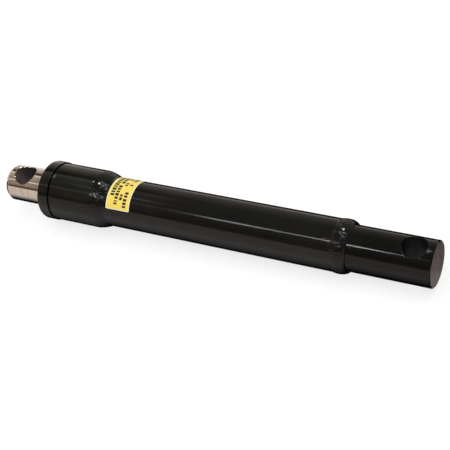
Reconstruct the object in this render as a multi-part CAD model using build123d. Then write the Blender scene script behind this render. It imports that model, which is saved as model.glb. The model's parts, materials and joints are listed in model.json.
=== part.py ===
"""Single-acting hydraulic cylinder with a plunger rod, a welded barrel and a screwed packing nut.

Frame: the origin is the centre of the base pin bore, +X runs along the cylinder towards the rod end,
+Z runs along both pin bores, and the oil port faces -Y. Sizes are in millimetres.
"""

from math import cos, pi, radians, sin
import os

from build123d import *

INCH = 25.4

# Driving dimensions: stock diameters, pin centres and stroke.
ROD_R = 1.5 * INCH / 2
TUBE_R = 2.0 * INCH / 2
BORE_R = 1.625 * INCH / 2
BASE_BAR_R = 1.75 * INCH / 2
COLLAR_R = 29.75
NUT_R = 30.6
PIN_BORE_R = 11.9
PIN_TO_PIN = 16.75 * INCH
STROKE = 9.0 * INCH

# Clearances, on the radius or along X.
SLIP = 0.05
RUNNING = 0.08
LOOSE = 0.3
FACE_GAP = 0.1

# Where the main pieces start and end along X.
BASE_END_X = -19.0
TUBE_REAR_X = 68.0
COLLAR_REAR_X = 330.0
TUBE_FRONT_X = 341.0
COLLAR_FRONT_X = 383.2
NUT_BACK_X = 384.0
NUT_FRONT_X = 397.3
ROD_END_X = PIN_TO_PIN + 20.8

# Base lug: solid bar with the pin bore, the oil port and the passages that join it to the barrel.
BASE_END_CHAMFER = 1.0
BASE_WELD_PREP = 1.5
BASE_SPIGOT_LENGTH = 8.0
PIN_BORE_EDGE = 0.6
PORT_X = 38.0
PORT_R = 5.7
PORT_DEPTH = 13.5
PORT_MOUTH_R = 6.8
SPOT_FACE_R = 10.5
SPOT_FACE_Y = 20.4
PASSAGE_R = 4.0

# Weld beads.
TUBE_BEVEL = 3.2
BASE_BEAD_TOE_X = 60.5
BASE_BEAD_CREST_X = 69.5
BASE_BEAD_CREST_R = 26.2
BASE_BEAD_END_X = 75.6
COLLAR_REAR_CHAMFER = 3.0
COLLAR_BEAD_TOE_X = 318.8
COLLAR_BEAD_MID = (326.0, 28.3)

# Collar: slips over the barrel and holds the packing in a bore that ends in the nut's thread.
PACKING_BORE_R = 25.0
COLLAR_EDGE = 0.6
COLLAR_FRONT_ROUND = 1.4

# Gland bushing: a flanged bronze guide in the mouth of the barrel.
BUSHING_LENGTH = 17.0
BUSHING_FLANGE = 3.4
OIL_GROOVE_DEPTH = 0.6
OIL_GROOVE_WIDTH = 2.4

# Vee packing: a header, four vee rings, a follower and a thrust washer.
VEE_RINGS = 4
VEE_DEPTH = 2.6
VEE_WALL = 3.4
VEE_BEVEL = 0.4
HEADER_RIM = 2.4
FOLLOWER_RIM = 5.6
WASHER_THICKNESS = 2.0

# Packing nut: threaded spigot, flange, wiper groove and four holes in its face for a pin spanner.
NUT_SPIGOT_R = PACKING_BORE_R - RUNNING
NUT_SPIGOT_LEAD = 0.8
NUT_FRONT_ROUND = 3.2
NUT_BACK_EDGE = 0.2
WIPER_SEAT_R = 22.2
WIPER_SEAT_DEPTH = 7.0
SPANNER_HOLES = 4
SPANNER_HOLE_R = 1.9
SPANNER_HOLE_DEPTH = 7.5
SPANNER_CIRCLE_R = 25.0
O_RING_SECTION_R = 1.25
O_RING_GROOVE_R = 22.3
O_RING_GROOVE_WIDTH = 3.0
O_RING_X = 380.8

# Rod: chromed bar, with a turned spigot at its inner end for the stop guide.
ROD_END_CHAMFER_X = 3.8
ROD_END_CHAMFER_R = 2.1
ROD_END_SOFTENING = 1.6
ROD_SPIGOT_R = 12.7
ROD_INNER_X = TUBE_REAR_X + BASE_SPIGOT_LENGTH + 0.2
SNAP_GROOVE_X = 82.1
SNAP_GROOVE_R = 11.7
SNAP_WIDTH = 2.0
SNAP_OUTER_R = 15.2
SNAP_GAP_DEG = 34.0
GUIDE_X = SNAP_GROOVE_X + SNAP_WIDTH / 2 + FACE_GAP
GUIDE_LENGTH = 11.6
GUIDE_R = 20.25
WEAR_GROOVE_WIDTH = 7.6
WEAR_GROOVE_R = 18.5
WEAR_RING_WIDTH = 7.4
WEAR_RING_SLOT = 2.0
OIL_HOLES = 6
OIL_HOLE_R = 1.5
OIL_HOLE_CIRCLE_R = 15.6

# Label: a thin patch on the barrel. Angles run from +Y towards +Z.
LABEL_X = (288.2, 315.3)
LABEL_THICKNESS = 0.15
LABEL_FROM_DEG = 35.4
LABEL_TO_DEG = 166.0
LABEL_CORNER_R = 1.2


def face_of(*lines):
    """The flat face that a chain of lines encloses, drawn with X along X and the radius along Y."""
    return make_face(Curve() + [line for line in lines])


def turned(*lines):
    """The solid that an outline of lines, or of (x, radius) points, sweeps about the X axis."""
    if isinstance(lines[0], tuple):
        lines = (Polyline(*lines, close=True),)
    return revolve(face_of(*lines), Axis.X)


def along_x(radius, x_from, x_to, y=0.0, z=0.0):
    """A cylinder between two places along X."""
    length = x_to - x_from
    return Pos((x_from + x_to) / 2, y, z) * Rot(0, 90, 0) * Cylinder(radius, length)


def along_z(radius, length, x):
    """A cylinder through the X axis, parallel to the pin bores."""
    return Pos(x, 0, 0) * Cylinder(radius, length)


def around_x(radius, angle_deg):
    """The y and z of a point at a radius from the X axis, with its angle from +Y towards +Z."""
    return radius * cos(radians(angle_deg)), radius * sin(radians(angle_deg))


def with_pin_bore(bar, bar_radius, x):
    """A round bar with a pin bore across it, and both mouths of the bore eased."""
    bored = bar - along_z(PIN_BORE_R, 4 * bar_radius, x)
    mouths = [
        edge
        for edge in bored.edges()
        if abs(edge.bounding_box().center().X - x) < 0.1 and abs(edge.center().Z) > PIN_BORE_R / 2
    ]
    return fillet(mouths, PIN_BORE_EDGE)


def base_lug():
    spigot_r = BORE_R - SLIP
    spigot_x = TUBE_REAR_X + BASE_SPIGOT_LENGTH
    bar = turned(
        (BASE_END_X, 0),
        (BASE_END_X, BASE_BAR_R - BASE_END_CHAMFER),
        (BASE_END_X + BASE_END_CHAMFER, BASE_BAR_R),
        (TUBE_REAR_X - BASE_WELD_PREP, BASE_BAR_R),
        (TUBE_REAR_X, BASE_BAR_R - BASE_WELD_PREP),
        (TUBE_REAR_X, spigot_r),
        (spigot_x - 1, spigot_r),
        (spigot_x, spigot_r - 1),
        (spigot_x, 0),
    )
    bar = with_pin_bore(bar, BASE_BAR_R, 0)
    return bar - oil_port() - along_x(PASSAGE_R, PORT_X, spigot_x + 1)


def oil_port():
    """What the port takes out of the bar: spot face, countersunk mouth, thread bore and passage."""
    outside = BASE_BAR_R + 2
    mouth_depth = PORT_MOUTH_R - PORT_R
    outline = Polyline(
        (0, 0),
        (PASSAGE_R, 0),
        (PASSAGE_R, SPOT_FACE_Y - PORT_DEPTH),
        (PORT_R, SPOT_FACE_Y - PORT_DEPTH),
        (PORT_R, SPOT_FACE_Y - mouth_depth),
        (PORT_MOUTH_R, SPOT_FACE_Y),
        (SPOT_FACE_R, SPOT_FACE_Y),
        (SPOT_FACE_R, outside),
        (0, outside),
        close=True,
    )
    cutter = revolve(face_of(outline), Axis.Y)
    return Pos(PORT_X, 0, 0) * Rot(0, 0, 180) * cutter


def barrel_tube():
    root = BASE_BAR_R
    return turned(
        (TUBE_REAR_X, BORE_R),
        (TUBE_REAR_X, root),
        (TUBE_REAR_X + TUBE_BEVEL, TUBE_R),
        (TUBE_FRONT_X - 1, TUBE_R),
        (TUBE_FRONT_X, TUBE_R - 1),
        (TUBE_FRONT_X, BORE_R),
    )


def base_weld_bead():
    """Fills the vee between bar and tube and stands proud, with a low crest and a steep toe."""
    toe = (BASE_BEAD_TOE_X, BASE_BAR_R)
    crest = (BASE_BEAD_CREST_X, BASE_BEAD_CREST_R)
    end = (BASE_BEAD_END_X, TUBE_R)
    root = Polyline(
        toe,
        (TUBE_REAR_X - BASE_WELD_PREP, BASE_BAR_R),
        (TUBE_REAR_X, BASE_BAR_R - BASE_WELD_PREP),
        (TUBE_REAR_X, BASE_BAR_R),
        (TUBE_REAR_X + TUBE_BEVEL, TUBE_R),
        end,
    )
    toe_arc = EllipticalCenterArc((crest[0], toe[1]), crest[0] - toe[0], crest[1] - toe[1], 90)
    end_arc = TangentArc(crest, end, tangent=(1, 0))
    return turned(root, toe_arc, end_arc)


def head_collar():
    rear_r = COLLAR_R - COLLAR_REAR_CHAMFER
    seat_r = TUBE_R + SLIP
    round_from = (COLLAR_FRONT_X - COLLAR_FRONT_ROUND, COLLAR_R)
    round_to = (COLLAR_FRONT_X, COLLAR_R - COLLAR_FRONT_ROUND)
    outline = Polyline(
        round_to,
        (COLLAR_FRONT_X, PACKING_BORE_R + COLLAR_EDGE),
        (COLLAR_FRONT_X - COLLAR_EDGE, PACKING_BORE_R),
        (TUBE_FRONT_X, PACKING_BORE_R),
        (TUBE_FRONT_X, seat_r),
        (COLLAR_REAR_X, seat_r),
        (COLLAR_REAR_X, rear_r),
        (COLLAR_REAR_X + COLLAR_REAR_CHAMFER, COLLAR_R),
        round_from,
    )
    return turned(outline, RadiusArc(round_from, round_to, COLLAR_FRONT_ROUND))


def collar_weld_bead():
    """A wide fillet from the barrel up to the edge of the collar."""
    toe = (COLLAR_BEAD_TOE_X, TUBE_R)
    top = (COLLAR_REAR_X + COLLAR_REAR_CHAMFER, COLLAR_R)
    root = Polyline(
        toe,
        (COLLAR_REAR_X, TUBE_R),
        (COLLAR_REAR_X, COLLAR_R - COLLAR_REAR_CHAMFER),
        top,
    )
    return turned(root, ThreePointArc(top, COLLAR_BEAD_MID, toe))


def gland_bushing():
    inner = ROD_R + RUNNING
    body = BORE_R - SLIP
    rim = PACKING_BORE_R - SLIP
    rear = TUBE_FRONT_X - BUSHING_LENGTH
    front = TUBE_FRONT_X + BUSHING_FLANGE
    ring = turned(
        (rear, inner),
        (rear, body - 0.5),
        (rear + 0.5, body),
        (TUBE_FRONT_X + SLIP, body),
        (TUBE_FRONT_X + SLIP, rim),
        (front, rim),
        (front, inner),
    )
    for share in (0.3, 0.7):
        middle = rear + share * (front - rear)
        half = OIL_GROOVE_WIDTH / 2
        ring -= along_x(inner + OIL_GROOVE_DEPTH, middle - half, middle + half)
    return ring


def packing_layout():
    """Where each packing piece starts along X, worked out from the bushing's front face."""
    header = TUBE_FRONT_X + BUSHING_FLANGE + FACE_GAP
    first_apex = header + HEADER_RIM + VEE_DEPTH + FACE_GAP
    pitch = VEE_WALL + FACE_GAP
    follower_apex = first_apex + VEE_RINGS * pitch
    follower_front = follower_apex - VEE_DEPTH + FOLLOWER_RIM
    washer = follower_front + FACE_GAP
    return header, first_apex, pitch, follower_apex, follower_front, washer


def packing_radii():
    inner = ROD_R + RUNNING
    outer = PACKING_BORE_R - SLIP
    return inner, (inner + outer) / 2, outer


def packing_header():
    inner, middle, outer = packing_radii()
    back = packing_layout()[0]
    shoulder = back + HEADER_RIM
    return turned(
        (back, inner),
        (back, outer),
        (shoulder, outer),
        (shoulder + VEE_DEPTH, middle),
        (shoulder, inner),
    )


def vee_packing_ring(index):
    """A vee ring. Its lips point at the oil, and its back nests in the next ring."""
    inner, middle, outer = packing_radii()
    _, first_apex, pitch, _, _, _ = packing_layout()
    apex = first_apex + index * pitch
    lip = apex - VEE_DEPTH
    back = apex + VEE_WALL
    slant = VEE_BEVEL * VEE_DEPTH / (outer - middle)
    return turned(
        (lip + slant + VEE_BEVEL, inner),
        (lip + slant, inner + VEE_BEVEL),
        (apex, middle),
        (lip + slant, outer - VEE_BEVEL),
        (lip + slant + VEE_BEVEL, outer),
        (back - VEE_DEPTH, outer),
        (back - slant, middle + VEE_BEVEL),
        (back - slant, middle - VEE_BEVEL),
        (back - VEE_DEPTH, inner),
    )


def packing_follower():
    inner, middle, outer = packing_radii()
    _, _, _, apex, front, _ = packing_layout()
    lip = apex - VEE_DEPTH
    return turned((lip, inner), (apex, middle), (lip, outer), (front, outer), (front, inner))


def packing_washer():
    inner, _, outer = packing_radii()
    back = packing_layout()[5]
    return along_x(outer, back, back + WASHER_THICKNESS) - along_x(
        inner + LOOSE, back, back + WASHER_THICKNESS
    )


def packing_nut():
    bore = ROD_R + LOOSE
    spigot_rear = packing_layout()[5] + WASHER_THICKNESS + FACE_GAP
    seat_x = NUT_FRONT_X - WIPER_SEAT_DEPTH
    front_edge = NUT_R - NUT_FRONT_ROUND
    outline = [
        Polyline(
            (NUT_FRONT_X, front_edge),
            (NUT_FRONT_X, WIPER_SEAT_R),
            (seat_x, WIPER_SEAT_R),
            (seat_x, bore),
            (spigot_rear, bore),
            (spigot_rear, NUT_SPIGOT_R - NUT_SPIGOT_LEAD),
            (spigot_rear + NUT_SPIGOT_LEAD, NUT_SPIGOT_R),
            (O_RING_X - O_RING_GROOVE_WIDTH / 2, NUT_SPIGOT_R),
            (O_RING_X - O_RING_GROOVE_WIDTH / 2, O_RING_GROOVE_R),
            (O_RING_X + O_RING_GROOVE_WIDTH / 2, O_RING_GROOVE_R),
            (O_RING_X + O_RING_GROOVE_WIDTH / 2, NUT_SPIGOT_R),
            (NUT_BACK_X, NUT_SPIGOT_R),
            (NUT_BACK_X, NUT_R - NUT_BACK_EDGE),
            (NUT_BACK_X + NUT_BACK_EDGE, NUT_R),
            (NUT_FRONT_X - NUT_FRONT_ROUND, NUT_R),
        ),
        RadiusArc((NUT_FRONT_X - NUT_FRONT_ROUND, NUT_R), (NUT_FRONT_X, front_edge), NUT_FRONT_ROUND),
    ]
    nut = turned(*outline)
    for k in range(SPANNER_HOLES):
        y, z = around_x(SPANNER_CIRCLE_R, 45 + 360 * k / SPANNER_HOLES)
        nut -= along_x(SPANNER_HOLE_R, NUT_FRONT_X - SPANNER_HOLE_DEPTH, NUT_FRONT_X + 1, y, z)
    return nut


def nut_o_ring():
    centre_r = O_RING_GROOVE_R + SLIP + O_RING_SECTION_R
    return Pos(O_RING_X, 0, 0) * Rot(0, 90, 0) * Torus(centre_r, O_RING_SECTION_R)


def rod_wiper():
    """A polyurethane ring in the nut's mouth, with a lip that slopes out and down to the rod."""
    back = NUT_FRONT_X - WIPER_SEAT_DEPTH + FACE_GAP
    outer = WIPER_SEAT_R - SLIP
    inner = ROD_R + RUNNING
    lip_x = NUT_FRONT_X + 1.6
    return turned(
        (back, inner + 0.8),
        (back, outer),
        (NUT_FRONT_X - 0.4, outer),
        (NUT_FRONT_X, outer - 0.4),
        (NUT_FRONT_X, inner + 2.0),
        (lip_x, inner + 0.9),
        (lip_x, inner),
        (lip_x - 3.0, inner),
    )


def piston_rod():
    shoulder_x = GUIDE_X + GUIDE_LENGTH + FACE_GAP
    rear_chamfer = 1.2
    softened = make_face(
        Polyline(
            (ROD_INNER_X, 0),
            (ROD_INNER_X, ROD_SPIGOT_R - rear_chamfer),
            (ROD_INNER_X + rear_chamfer, ROD_SPIGOT_R),
            (SNAP_GROOVE_X - SNAP_WIDTH / 2, ROD_SPIGOT_R),
            (SNAP_GROOVE_X - SNAP_WIDTH / 2, SNAP_GROOVE_R),
            (SNAP_GROOVE_X + SNAP_WIDTH / 2, SNAP_GROOVE_R),
            (SNAP_GROOVE_X + SNAP_WIDTH / 2, ROD_SPIGOT_R),
            (shoulder_x, ROD_SPIGOT_R),
            (shoulder_x, ROD_R - 0.4),
            (shoulder_x + 0.4, ROD_R),
            (ROD_END_X - ROD_END_CHAMFER_X, ROD_R),
            (ROD_END_X, ROD_R - ROD_END_CHAMFER_R),
            (ROD_END_X, 0),
            close=True,
        )
    )
    corners = [
        corner
        for corner in softened.vertices()
        if corner.X > ROD_END_X - ROD_END_CHAMFER_X - 0.01 and corner.Y > 1
    ]
    bar = revolve(fillet(corners, ROD_END_SOFTENING), Axis.X)
    return with_pin_bore(bar, ROD_R, PIN_TO_PIN)


def stop_guide():
    """Steel ring that stops the rod at full stroke, drilled so that oil passes it."""
    rear, front = GUIDE_X, GUIDE_X + GUIDE_LENGTH
    groove_from = (rear + front - WEAR_GROOVE_WIDTH) / 2
    groove_to = groove_from + WEAR_GROOVE_WIDTH
    ring = turned(
        (rear, ROD_SPIGOT_R + SLIP),
        (rear, GUIDE_R - 0.5),
        (rear + 0.5, GUIDE_R),
        (groove_from, GUIDE_R),
        (groove_from, WEAR_GROOVE_R),
        (groove_to, WEAR_GROOVE_R),
        (groove_to, GUIDE_R),
        (front - 0.5, GUIDE_R),
        (front, GUIDE_R - 0.5),
        (front, ROD_SPIGOT_R + SLIP),
    )
    for k in range(OIL_HOLES):
        y, z = around_x(OIL_HOLE_CIRCLE_R, 360 * k / OIL_HOLES)
        ring -= along_x(OIL_HOLE_R, rear - 1, front + 1, y, z)
    return ring


def stop_wear_ring():
    """Nylon band in the guide's groove, split by a slanting slot so that it can be sprung on."""
    middle = GUIDE_X + GUIDE_LENGTH / 2
    rear, front = middle - WEAR_RING_WIDTH / 2, middle + WEAR_RING_WIDTH / 2
    band = turned(
        (rear, WEAR_GROOVE_R + RUNNING),
        (rear, BORE_R - RUNNING),
        (front, BORE_R - RUNNING),
        (front, WEAR_GROOVE_R + RUNNING),
    )
    slot = Pos(middle, 0, BORE_R) * Rot(0, 0, 30) * Box(4 * WEAR_RING_WIDTH, WEAR_RING_SLOT, 6)
    return band - slot


def snap_ring():
    """External retaining ring, open below, with an ear and a pliers hole on each side of its gap."""
    inner = SNAP_GROOVE_R + SLIP
    rear = SNAP_GROOVE_X - SNAP_WIDTH / 2 + SLIP
    front = SNAP_GROOVE_X + SNAP_WIDTH / 2 - SLIP
    ring = along_x(SNAP_OUTER_R, rear, front)
    ear_r, pliers_r = 2.1, 0.9
    half_gap = SNAP_GAP_DEG / 2
    ears = [around_x(SNAP_OUTER_R - 0.4, -90 + side * (half_gap + 6)) for side in (-1, 1)]
    for y, z in ears:
        ring += along_x(ear_r, rear, front, y, z)
    for y, z in ears:
        ring -= along_x(pliers_r, rear - 1, front + 1, y, z)
    edge_left, edge_right = (around_x(2 * SNAP_OUTER_R, -90 + side * half_gap) for side in (-1, 1))
    wedge = Plane.YZ * make_face(Polyline((0, 0), edge_left, edge_right, close=True))
    gap = extrude(wedge, SNAP_GROOVE_X * 2)
    return ring - gap - along_x(inner, rear - 1, front + 1)


def barrel_label():
    """Thin curved patch with rounded corners, cut from a shell around the barrel."""
    shell = along_x(TUBE_R + LABEL_THICKNESS, *LABEL_X) - along_x(TUBE_R, *LABEL_X)
    middle_deg = (LABEL_FROM_DEG + LABEL_TO_DEG) / 2
    half_deg = (LABEL_TO_DEG - LABEL_FROM_DEG) / 2
    reach = 3 * TUBE_R
    corners = [around_x(reach, middle_deg + side * half_deg) for side in (-1, 1)]
    apex = around_x(reach * 2, middle_deg)
    sector = make_face(Polyline((0, 0), corners[0], apex, corners[1], close=True))
    patch = shell & extrude(Plane.YZ * sector, 2 * LABEL_X[1])
    upright = [
        edge
        for edge in patch.edges().filter_by(GeomType.LINE)
        if edge.length < 2 * LABEL_THICKNESS
    ]
    return fillet(upright, LABEL_CORNER_R)


def main():
    nodes = {
        "barrel_tube": barrel_tube(),
        "head_collar": head_collar(),
        "collar_weld_bead": collar_weld_bead(),
        "base_lug": base_lug(),
        "base_weld_bead": base_weld_bead(),
        "barrel_label": barrel_label(),
        "gland_bushing": gland_bushing(),
        "packing_header": packing_header(),
        "packing_follower": packing_follower(),
        "packing_washer": packing_washer(),
        "packing_nut": packing_nut(),
        "nut_o_ring": nut_o_ring(),
        "rod_wiper": rod_wiper(),
        "piston_rod": piston_rod(),
        "stop_guide": stop_guide(),
        "stop_wear_ring": stop_wear_ring(),
        "snap_ring": snap_ring(),
    }
    for index in range(VEE_RINGS):
        nodes[f"vee_packing_ring_{index + 1}"] = vee_packing_ring(index)

    os.makedirs("parts", exist_ok=True)
    for name, shape in nodes.items():
        export_step(shape, f"parts/{name}.step")
    guide_front = GUIDE_X + GUIDE_LENGTH
    bushing_rear = TUBE_FRONT_X - BUSHING_LENGTH
    print(f"{len(nodes)} nodes, room left at full stroke {bushing_rear - guide_front - STROKE:.2f} mm")
    print(f"nut spigot starts at x = {packing_layout()[5] + WASHER_THICKNESS + FACE_GAP:.2f} mm")


main()
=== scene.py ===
"""Looks of a single-acting hydraulic cylinder: paint, chrome, weld beads, nut thread, label and studio.

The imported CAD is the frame. Everything here is in metres, in the row's frame: the origin is the centre of
the base pin bore, +X runs to the rod end and +Z along the pin bores.
"""

import json
import math
import random

import bmesh
import bpy
from mathutils import Matrix, Quaternion, Vector, noise

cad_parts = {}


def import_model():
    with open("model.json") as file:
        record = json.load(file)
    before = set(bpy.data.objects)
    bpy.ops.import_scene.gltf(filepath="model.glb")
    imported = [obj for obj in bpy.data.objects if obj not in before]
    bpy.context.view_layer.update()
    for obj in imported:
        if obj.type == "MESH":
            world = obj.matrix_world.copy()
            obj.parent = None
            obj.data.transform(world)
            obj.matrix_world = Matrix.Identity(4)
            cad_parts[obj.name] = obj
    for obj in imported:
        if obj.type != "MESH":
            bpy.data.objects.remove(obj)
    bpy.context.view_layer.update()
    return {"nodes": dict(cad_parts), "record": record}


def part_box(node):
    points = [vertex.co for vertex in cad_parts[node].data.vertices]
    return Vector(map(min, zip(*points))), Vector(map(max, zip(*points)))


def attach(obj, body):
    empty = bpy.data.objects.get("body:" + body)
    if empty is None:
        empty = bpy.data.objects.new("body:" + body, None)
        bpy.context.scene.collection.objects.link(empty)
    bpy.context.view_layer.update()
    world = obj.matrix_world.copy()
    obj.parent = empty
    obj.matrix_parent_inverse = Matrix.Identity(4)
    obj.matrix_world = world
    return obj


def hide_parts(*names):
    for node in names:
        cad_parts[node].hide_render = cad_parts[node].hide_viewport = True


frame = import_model()
NODES = frame["nodes"]
MOUNTS = {mount["name"]: mount for mount in frame["record"]["mounts"]}
MM = 0.001

# How far a new shape stays inside the CAD's outline, how far one face stands off another, and how far a face
# may be from a plane and still be taken for one on it.
INSIDE_CAD = 0.02 * MM
FIT_GAP = 0.05 * MM
FACE_MARGIN = 0.1 * MM


def top_radius(node):
    """The outer radius of a node that is turned about the X axis."""
    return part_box(node)[1].y


def x_span(node):
    """Where a node starts and ends along the X axis."""
    low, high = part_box(node)
    return low.x, high.x


def ring_point(x, radius, angle):
    """A place at a radius from the X axis. The angle runs from +Y towards +Z."""
    return Vector((x, radius * math.cos(angle), radius * math.sin(angle)))


# Sizes read from the CAD.
TUBE_R = top_radius("barrel_tube")
BASE_BAR_R = top_radius("base_lug")
COLLAR_R = top_radius("head_collar")
NUT_R = top_radius("packing_nut")
ROD_R = top_radius("piston_rod")
BASE_END_X = x_span("base_lug")[0]
PIN_BORE_R = MOUNTS["base_pin_bore"]["dims"]["r_mm"] * MM
ROD_PIN_X = MOUNTS["rod_pin_bore"]["pos_m"][0]
PORT_X = MOUNTS["oil_port"]["pos_m"][0]
PORT_R = MOUNTS["oil_port"]["dims"]["r_mm"] * MM
PORT_LENGTH = MOUNTS["oil_port"]["dims"]["length_mm"] * MM
PORT_CENTRE_Y = MOUNTS["oil_port"]["pos_m"][1]
PORT_COUNTERSINK = 1.0 * MM

# Camera.
CAMERA_PLACE = (-0.2450, 0.5384, 0.7653)
CAMERA_AIM = (0.1925, 0.0026, 0.0)
CAMERA_ROLL_DEG = 20.0
CAMERA_LENS_MM = 84.9
CAMERA_SENSOR_MM = 36.0

# Painted highlights and glints: pale spots in the paint's colour where the collar, the bar and the welds would
# catch a lamp. Each is its x, radius, angle from +Y, reach in mm, and shade.
COLLAR_PAINTED_HIGHLIGHTS = (
    (381.4, 29.75, 80.7, 2.8, 0.10),
    (334.2, 29.75, 85.5, 1.6, 0.25),
    (333.1, 29.75, 58.0, 1.2, 0.15),
)
BASE_PAINTED_HIGHLIGHTS = ((-13.2, 22.2, 82.0, 2.8, 0.08),)
WELD_PAINTED_GLINTS = (
    (327.6, 28.8, 85.0, 1.6, 0.90),
    (326.8, 28.6, 56.0, 1.3, 0.30),
    (323.2, 27.4, 82.0, 1.3, 0.22),
    (328.8, 29.1, 62.0, 1.1, 0.18),
    (66.3, 26.0, 90.0, 1.4, 0.50),
    (68.8, 26.2, 81.5, 1.2, 0.12),
    (70.7, 26.2, 99.0, 1.2, 0.10),
)

# In the rod's pin hole: where the painted shade on its dark side fades along Y, and how far below the rod's
# surface the darkness of its mouths starts and is full.
PAINTED_SHADE_SIDE_Y = (-6.5 * MM, 1.5 * MM)
DARK_MOUTH = (2.2 * MM, 1.0 * MM)

# ------------------------------------------------------------------ materials


class Nodes:
    """Short names for making and joining shader nodes in one tree."""

    def __init__(self, tree):
        self.tree = tree

    def node(self, kind, **settings):
        made = self.tree.nodes.new(kind)
        for key, value in settings.items():
            setattr(made, key, value)
        return made

    def link(self, output, target):
        self.tree.links.new(output, target)

    def ranged(self, value, low, high, start=0.35, stop=0.65):
        """The value's range from start to stop, mapped to low and high."""
        made = self.node("ShaderNodeMapRange")
        for socket, number in (
            ("From Min", start),
            ("From Max", stop),
            ("To Min", low),
            ("To Max", high),
        ):
            made.inputs[socket].default_value = number
        self.link(value, made.inputs["Value"])
        return made.outputs["Result"]

    def mixed(self, factor, first, second):
        """A colour between two, which are colours or outputs."""
        made = self.node("ShaderNodeMix", data_type="RGBA")
        self.link(factor, made.inputs["Factor"])
        for socket, colour in (("A", first), ("B", second)):
            target = next(s for s in made.inputs if s.name == socket and s.type == "RGBA")
            if isinstance(colour, tuple):
                target.default_value = (*colour, 1.0)
            else:
                self.link(colour, target)
        return next(s for s in made.outputs if s.type == "RGBA")

    def combined(self, first, second, operation="ADD"):
        """One value from two, which are numbers or outputs."""
        made = self.node("ShaderNodeMath", operation=operation)
        for socket, value in zip(made.inputs, (first, second)):
            if isinstance(value, (int, float)):
                socket.default_value = value
            else:
                self.link(value, socket)
        return made.outputs[0]

    def ramp(self, value, stops):
        """A colour ramp with a stop for each (position, colour) pair."""
        made = self.node("ShaderNodeValToRGB")
        elements = made.color_ramp.elements
        while len(elements) > 1:
            elements.remove(elements[-1])
        for index, (position, colour) in enumerate(stops):
            stop = elements[0] if index == 0 else elements.new(position)
            stop.position = position
            stop.color = (*colour, 1.0)
        self.link(value, made.inputs["Fac"])
        return made.outputs["Color"]


class Finish(Nodes):
    """A Principled material whose textures run in the row's frame, in metres."""

    def __init__(self, name, **sockets):
        self.material = bpy.data.materials.new(name)
        self.material.use_nodes = True
        super().__init__(self.material.node_tree)
        self.shader = self.tree.nodes["Principled BSDF"]
        for socket, value in sockets.items():
            self.shader.inputs[socket.replace("_", " ")].default_value = value
        self.where = self.node("ShaderNodeTexCoord").outputs["Object"]

    def stretched(self, scale):
        mapping = self.node("ShaderNodeMapping")
        mapping.inputs["Scale"].default_value = scale
        self.link(self.where, mapping.inputs["Vector"])
        return mapping.outputs["Vector"]

    def noise(self, size, detail=2.0, scale=(1, 1, 1), roughness=0.5):
        """Noise whose blobs are about this size in metres along an axis with scale 1."""
        made = self.node("ShaderNodeTexNoise")
        made.inputs["Scale"].default_value = 1 / size
        made.inputs["Detail"].default_value = detail
        made.inputs["Roughness"].default_value = roughness
        self.link(self.stretched(scale), made.inputs["Vector"])
        return made.outputs["Fac"]

    def tones(self, value, light, dark, start=0.35, stop=0.65):
        """A colour that goes from light to dark as a value goes from start to stop."""
        return self.mixed(self.ranged(value, 0.0, 1.0, start, stop), light, dark)

    def colour(self, output):
        self.link(output, self.shader.inputs["Base Color"])
        return self

    def rough(self, output):
        self.link(output, self.shader.inputs["Roughness"])
        return self

    def with_painted_highlights(self, colour, painted_spots):
        """Painted highlights: pale spots over a colour, each a row of the highlight tables at the top."""
        for x, radius, degrees, reach, shade in painted_spots:
            away = self.node("ShaderNodeVectorMath", operation="DISTANCE")
            away.inputs[1].default_value = ring_point(x, radius, math.radians(degrees)) * MM
            self.link(self.where, away.inputs[0])
            near = self.ranged(away.outputs["Value"], 1.0, 0.0, 0.0, reach * MM)
            colour = self.mixed(near, colour, (shade, shade, 0.96 * shade))
        return colour

    def bump(self, height, depth):
        """Bumps the surface by height times depth, in metres."""
        made = self.node("ShaderNodeBump")
        made.inputs["Strength"].default_value = 1.0
        made.inputs["Distance"].default_value = depth
        self.link(height, made.inputs["Height"])
        if self.shader.inputs["Normal"].is_linked:
            self.link(self.shader.inputs["Normal"].links[0].from_socket, made.inputs["Normal"])
        self.link(made.outputs["Normal"], self.shader.inputs["Normal"])
        return self


def gloss_paint(name, tone=(1.0, 1.0, 1.0), specular=0.30, painted_spots=()):
    """Black enamel: orange peel, faint streaks along the tube and a thin veil of dust. A tone away from 1
    makes a lighter or darker copy, which is painted light and shade for one part.
    """
    base = tuple(t * c for t, c in zip(tone, (0.0028, 0.0026, 0.0023)))
    veil = tuple(t * c for t, c in zip(tone, (0.0052, 0.0048, 0.0042)))
    paint = Finish(name, Specular_IOR_Level=specular)
    cloud = paint.noise(0.03, detail=4.0)
    # Painted highlights: the pale spots given for this copy of the enamel go into its colour.
    paint.colour(paint.with_painted_highlights(paint.tones(cloud, base, veil), painted_spots))
    paint.rough(paint.ranged(paint.noise(0.012, detail=3.0), 0.07, 0.13))
    paint.bump(paint.noise(0.0016, detail=1.0), 6e-6)
    paint.bump(paint.noise(0.004, detail=1.0, scale=(0.05, 1, 1)), 1.2e-5)
    return paint.material


def weld_paint():
    """The same enamel over a weld, with small pits and lumps that glint, and painted glints: pale spots at set
    places.
    """
    paint = Finish("gloss_black_weld", Specular_IOR_Level=0.30)
    # Painted glints: pale spots in the weld's colour where its lumps would catch a lamp.
    paint.colour(paint.with_painted_highlights((0.0030, 0.0028, 0.0025), WELD_PAINTED_GLINTS))
    lumps = paint.noise(0.0022, detail=1.0)
    paint.rough(paint.ranged(lumps, 0.03, 0.07))
    paint.bump(paint.ranged(lumps, 0.0, 1.0, 0.45, 0.72), 1.4e-4)
    return paint.material


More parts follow.
